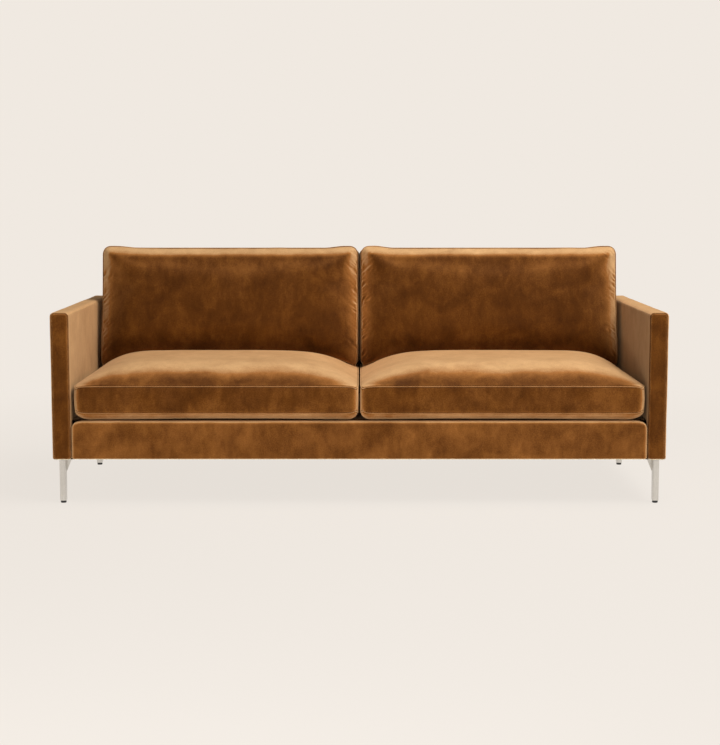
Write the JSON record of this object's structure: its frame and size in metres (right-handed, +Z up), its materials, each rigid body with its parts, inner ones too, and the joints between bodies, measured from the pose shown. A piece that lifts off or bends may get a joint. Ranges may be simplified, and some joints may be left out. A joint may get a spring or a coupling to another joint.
{
  "type": "tuxedo sofa",
  "caption": "Upholstered sofa with thin arms level with the back, loose boxed seat and back cushions, and bent steel blade legs.",
  "frame": {"origin": "on the floor, at the centre of the sofa's plan", "axes": "+X to the right as seen from the front, along the width; +Y to the rear; +Z up"},
  "size_m": [2.04, 0.875, 0.8364],
  "materials": {
    "velvet": "matte",
    "zip_tape": "matte",
    "dust_cloth": "matte",
    "webbing": "matte",
    "foam": "matte",
    "fibre": "matte",
    "felt": "matte",
    "timber": "matte",
    "hardboard": "matte",
    "leg_steel": "satin",
    "spring_steel": "satin",
    "zinc_steel": "satin",
    "zip_metal": "satin",
    "glide_plastic": "matte"
  },
  "bodies": {
    "frame": {"seat_front_rail": "timber", "seat_spring_rail": "timber", "seat_side_rail_left": "timber", "seat_side_rail_right": "timber", "seat_centre_rail": "timber", "seat_corner_blocks": "timber", "arm_front_post_left": "timber", "arm_front_post_right": "timber", "arm_rear_post_left": "timber", "arm_rear_post_right": "timber", "arm_rails_left": "timber", "arm_rails_right": "timber", "arm_panels_left": "hardboard", "arm_panels_right": "hardboard", "back_bottom_rail": "timber", "back_top_rail": "timber", "back_uprights": "timber", "back_panel": "hardboard", "back_webbing": "webbing", "seat_springs_left": "spring_steel", "seat_springs_right": "spring_steel", "spring_clips": "zinc_steel", "deck_pad": "felt", "deck_cover": "velvet", "border_pad": "foam", "border_cover": "velvet", "arm_pad_left": "foam", "arm_pad_right": "foam", "arm_cover_left": "velvet", "arm_cover_right": "velvet", "back_pad": "foam", "back_frame_cover": "velvet", "dust_cover": "dust_cloth", "leg_front_left": "leg_steel", "leg_front_right": "leg_steel", "leg_rear_left": "leg_steel", "leg_rear_right": "leg_steel", "leg_glides": "glide_plastic", "leg_screws": "zinc_steel", "arm_bolts": "zinc_steel", "arm_tee_nuts": "zinc_steel"},
    "seat_cushion_left": {"seat_cover_left": "velvet", "seat_core_left": "foam", "seat_zip_left": "zip_tape"},
    "back_cushion_left": {"back_cover_left": "velvet", "back_fill_left": "fibre", "back_zip_left": "zip_tape"},
    "seat_slider_left": {"seat_zip_slider_left": "zip_metal"},
    "back_slider_left": {"back_zip_slider_left": "zip_metal"},
    "seat_cushion_right": {"seat_cover_right": "velvet", "seat_core_right": "foam", "seat_zip_right": "zip_tape"},
    "back_cushion_right": {"back_cover_right": "velvet", "back_fill_right": "fibre", "back_zip_right": "zip_tape"},
    "seat_slider_right": {"seat_zip_slider_right": "zip_metal"},
    "back_slider_right": {"back_zip_slider_right": "zip_metal"}
  },
  "joints": [
    {"name": "seat_cushion_left_pull", "type": "slide", "parent": "frame", "child": "seat_cushion_left", "axis": [0, -1, 0], "range_m": [0, 0.8]},
    {"name": "back_cushion_left_lift", "type": "slide", "parent": "frame", "child": "back_cushion_left", "axis": [0, 0, 1], "range_m": [0, 0.5]},
    {"name": "seat_zip_left_run", "type": "slide", "parent": "seat_cushion_left", "child": "seat_slider_left", "axis": [-1, 0, 0], "range_m": [0, 0.74]},
    {"name": "back_zip_left_run", "type": "slide", "parent": "back_cushion_left", "child": "back_slider_left", "axis": [-1, 0, 0], "range_m": [0, 0.6]},
    {"name": "seat_cushion_right_pull", "type": "slide", "parent": "frame", "child": "seat_cushion_right", "axis": [0, -1, 0], "range_m": [0, 0.8]},
    {"name": "back_cushion_right_lift", "type": "slide", "parent": "frame", "child": "back_cushion_right", "axis": [0, 0, 1], "range_m": [0, 0.5]},
    {"name": "seat_zip_right_run", "type": "slide", "parent": "seat_cushion_right", "child": "seat_slider_right", "axis": [1, 0, 0], "range_m": [0, 0.74]},
    {"name": "back_zip_right_run", "type": "slide", "parent": "back_cushion_right", "child": "back_slider_right", "axis": [1, 0, 0], "range_m": [0, 0.6]}
  ]
}
